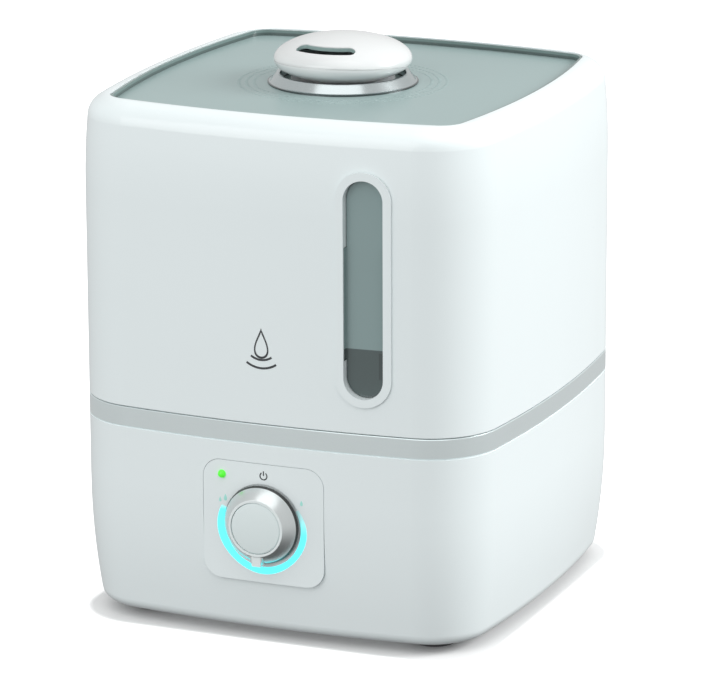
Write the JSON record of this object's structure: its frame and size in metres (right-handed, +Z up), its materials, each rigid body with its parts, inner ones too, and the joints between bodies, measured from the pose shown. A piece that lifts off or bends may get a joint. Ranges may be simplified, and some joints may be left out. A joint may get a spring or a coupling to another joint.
{
  "type": "cool mist humidifier",
  "caption": "Bowed square table humidifier with a lift-off water tank, a swivelling round mist nozzle, a level window and a front mist knob.",
  "frame": {"origin": "centre of the footprint, on the surface that the feet stand on", "axes": "+Z up; the control panel faces -Y; +X is to the right seen from the front"},
  "size_m": [0.19, 0.2048, 0.24],
  "materials": {
    "white_gloss": "glossy white moulded ABS",
    "white_plain": "plain white moulded plastic",
    "silver": "bright silver lacquer on plastic",
    "knob_face": "satin pale grey plastic",
    "chrome": "chromed plastic",
    "tinted_clear": "smoke-grey clear polycarbonate",
    "light_cyan": "clear light guide lit cyan",
    "light_green": "clear lens lit green",
    "foot_rubber": "soft dark rubber",
    "silicone": "grey silicone",
    "steel": "bright zinc plate",
    "black_plastic": "black glass-filled plastic",
    "board": "green solder mask",
    "ferrite": "dark ferrite with yellow tape",
    "copper": "enamelled copper wire",
    "aluminium": "extruded aluminium"
  },
  "bodies": {
    "base": {"base_shell": "white_gloss", "bottom_plate": "white_plain", "foot_front_left": "foot_rubber", "foot_front_right": "foot_rubber", "foot_back_left": "foot_rubber", "foot_back_right": "foot_rubber", "base_screws": "steel", "trim_band": "silver", "water_basin": "white_plain", "valve_pin": "white_plain", "air_hood": "white_plain", "float_clip": "white_plain", "level_switch": "black_plastic", "transducer_disc": "steel", "transducer_seal": "silicone", "transducer_retainer": "aluminium", "transducer_screws": "steel", "fan_duct": "white_plain", "fan_frame": "black_plastic", "fan_screws": "steel", "fan_stator": "copper", "control_panel": "white_gloss", "light_ring": "light_cyan", "power_led": "light_green", "potentiometer": "black_plastic", "control_board": "board", "control_board_screws": "steel", "power_board": "board", "power_board_screws": "steel", "transformer": "ferrite", "capacitors": "black_plastic", "heat_sink": "aluminium", "cable_gland": "black_plastic", "gland_nut": "black_plastic"},
    "knob": {"knob_skirt": "silver", "knob_cap": "knob_face", "control_shaft": "steel"},
    "fan": {"fan_rotor": "black_plastic", "fan_shaft": "steel"},
    "float": {"float_ring": "white_plain", "float_magnet": "ferrite"},
    "tank": {"tank_casing": "white_gloss", "window_bezel": "white_gloss", "water_tank": "tinted_clear", "tank_lid": "tinted_clear", "mist_tube": "tinted_clear", "nozzle_collar": "chrome"},
    "cap": {"tank_cap": "white_plain", "cap_gasket": "silicone", "valve_cage": "white_plain", "valve_spring": "steel"},
    "plunger": {"valve_plunger": "white_plain", "valve_washer": "silicone"},
    "sleeve": {"nozzle_sleeve": "white_plain", "nozzle_oring": "silicone"},
    "nozzle_head": {"nozzle_base": "white_gloss", "nozzle_cap": "white_gloss", "splash_guard": "white_plain"}
  },
  "joints": [
    {"name": "tank_lift", "type": "slide", "parent": "base", "child": "tank", "axis": [0, 0, 1], "range_m": [0, 0.15]},
    {"name": "nozzle_lift", "type": "slide", "parent": "tank", "child": "sleeve", "axis": [0, 0, 1], "range_m": [0, 0.04]},
    {"name": "nozzle_turn", "type": "hinge", "parent": "sleeve", "child": "nozzle_head", "pos_m": [-0.003, -0.001, 0.2216], "axis": [0, 0, 1], "continuous": true},
    {"name": "knob_turn", "type": "hinge", "parent": "base", "child": "knob", "pos_m": [0, -0.095, 0.052], "axis": [0, 1, 0], "range_deg": [-180, 113]},
    {"name": "fan_spin", "type": "hinge", "parent": "base", "child": "fan", "pos_m": [-0.048, 0.046, 0.05], "axis": [0, 0, 1], "continuous": true},
    {"name": "float_rise", "type": "slide", "parent": "base", "child": "float", "axis": [0, 0, 1], "range_m": [0, 0.008]},
    {"name": "cap_turn", "type": "hinge", "parent": "tank", "child": "cap", "pos_m": [0.044, 0.04, 0.084], "axis": [0, 0, -1], "range_deg": [0, 60]},
    {"name": "valve_close", "type": "slide", "parent": "cap", "child": "plunger", "axis": [0, 0, 1], "range_m": [-0.004, 0], "stiffness_N_per_m": 60, "springref_m": -0.012, "deforming": ["valve_spring"]}
  ],
  "couplings": [
    {"joint": "valve_close", "follows": "tank_lift", "ratio": -0.0266}
  ]
}
